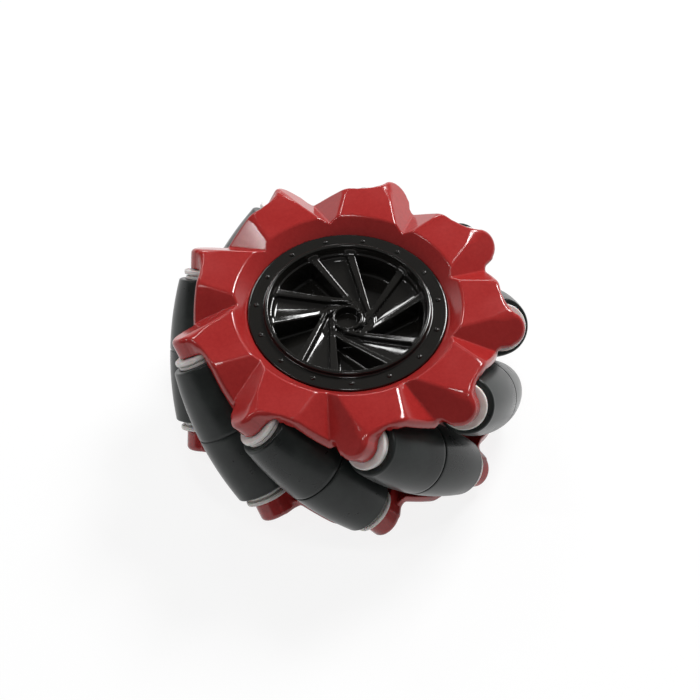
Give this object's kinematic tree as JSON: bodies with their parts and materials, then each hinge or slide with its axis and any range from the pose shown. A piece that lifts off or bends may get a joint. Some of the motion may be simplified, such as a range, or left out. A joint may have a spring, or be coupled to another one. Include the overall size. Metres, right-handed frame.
{
  "type": "mecanum wheel",
  "caption": "Mecanum wheel: barrel rollers on slanted axles between two toothed red plates, with a spoked black centre cap.",
  "frame": {"origin": "on the wheel's axis, in the plane of the rear flats that it lies on", "axes": "+Z along the wheel's axis from the rear flats to the front cap, +X through the middle of roller 1"},
  "size_m": [0.097, 0.097, 0.045],
  "materials": {
    "red_plastic": "gloss, injection moulded",
    "black_plastic": "high gloss",
    "sleeve_rubber": "satin, moulded",
    "core_plastic": "matt",
    "white_plastic": "semi-matt",
    "steel": "drawn and plated"
  },
  "bodies": {
    "hub": {"front_plate": "red_plastic", "rear_plate": "red_plastic", "centre_cap": "black_plastic", "assembly_screws": "steel", "axle_pin_1": "steel", "axle_pin_2": "steel", "axle_pin_3": "steel", "axle_pin_4": "steel", "axle_pin_5": "steel", "axle_pin_6": "steel", "axle_pin_7": "steel", "axle_pin_8": "steel", "axle_pin_9": "steel"},
    "roller_1": {"roller_sleeve_1": "sleeve_rubber", "roller_core_1": "core_plastic", "front_bush_1": "white_plastic", "rear_bush_1": "white_plastic"},
    "roller_2": {"roller_sleeve_2": "sleeve_rubber", "roller_core_2": "core_plastic", "front_bush_2": "white_plastic", "rear_bush_2": "white_plastic"},
    "roller_3": {"roller_sleeve_3": "sleeve_rubber", "roller_core_3": "core_plastic", "front_bush_3": "white_plastic", "rear_bush_3": "white_plastic"},
    "roller_4": {"roller_sleeve_4": "sleeve_rubber", "roller_core_4": "core_plastic", "front_bush_4": "white_plastic", "rear_bush_4": "white_plastic"},
    "roller_5": {"roller_sleeve_5": "sleeve_rubber", "roller_core_5": "core_plastic", "front_bush_5": "white_plastic", "rear_bush_5": "white_plastic"},
    "roller_6": {"roller_sleeve_6": "sleeve_rubber", "roller_core_6": "core_plastic", "front_bush_6": "white_plastic", "rear_bush_6": "white_plastic"},
    "roller_7": {"roller_sleeve_7": "sleeve_rubber", "roller_core_7": "core_plastic", "front_bush_7": "white_plastic", "rear_bush_7": "white_plastic"},
    "roller_8": {"roller_sleeve_8": "sleeve_rubber", "roller_core_8": "core_plastic", "front_bush_8": "white_plastic", "rear_bush_8": "white_plastic"},
    "roller_9": {"roller_sleeve_9": "sleeve_rubber", "roller_core_9": "core_plastic", "front_bush_9": "white_plastic", "rear_bush_9": "white_plastic"}
  },
  "joints": [
    {"name": "roller_1_spin", "type": "hinge", "parent": "hub", "child": "roller_1", "pos_m": [0.0386, 0, 0.0225], "axis": [0, -0.7071, 0.7071], "continuous": true},
    {"name": "roller_2_spin", "type": "hinge", "parent": "hub", "child": "roller_2", "pos_m": [0.02957, 0.02481, 0.0225], "axis": [0.4545, -0.5417, 0.7071], "continuous": true},
    {"name": "roller_3_spin", "type": "hinge", "parent": "hub", "child": "roller_3", "pos_m": [0.0067, 0.03801, 0.0225], "axis": [0.6964, -0.1228, 0.7071], "continuous": true},
    {"name": "roller_4_spin", "type": "hinge", "parent": "hub", "child": "roller_4", "pos_m": [-0.0193, 0.03343, 0.0225], "axis": [0.6124, 0.3536, 0.7071], "continuous": true},
    {"name": "roller_5_spin", "type": "hinge", "parent": "hub", "child": "roller_5", "pos_m": [-0.03627, 0.0132, 0.0225], "axis": [0.2418, 0.6645, 0.7071], "continuous": true},
    {"name": "roller_6_spin", "type": "hinge", "parent": "hub", "child": "roller_6", "pos_m": [-0.03627, -0.0132, 0.0225], "axis": [-0.2418, 0.6645, 0.7071], "continuous": true},
    {"name": "roller_7_spin", "type": "hinge", "parent": "hub", "child": "roller_7", "pos_m": [-0.0193, -0.03343, 0.0225], "axis": [-0.6124, 0.3536, 0.7071], "continuous": true},
    {"name": "roller_8_spin", "type": "hinge", "parent": "hub", "child": "roller_8", "pos_m": [0.0067, -0.03801, 0.0225], "axis": [-0.6964, -0.1228, 0.7071], "continuous": true},
    {"name": "roller_9_spin", "type": "hinge", "parent": "hub", "child": "roller_9", "pos_m": [0.02957, -0.02481, 0.0225], "axis": [-0.4545, -0.5417, 0.7071], "continuous": true}
  ]
}
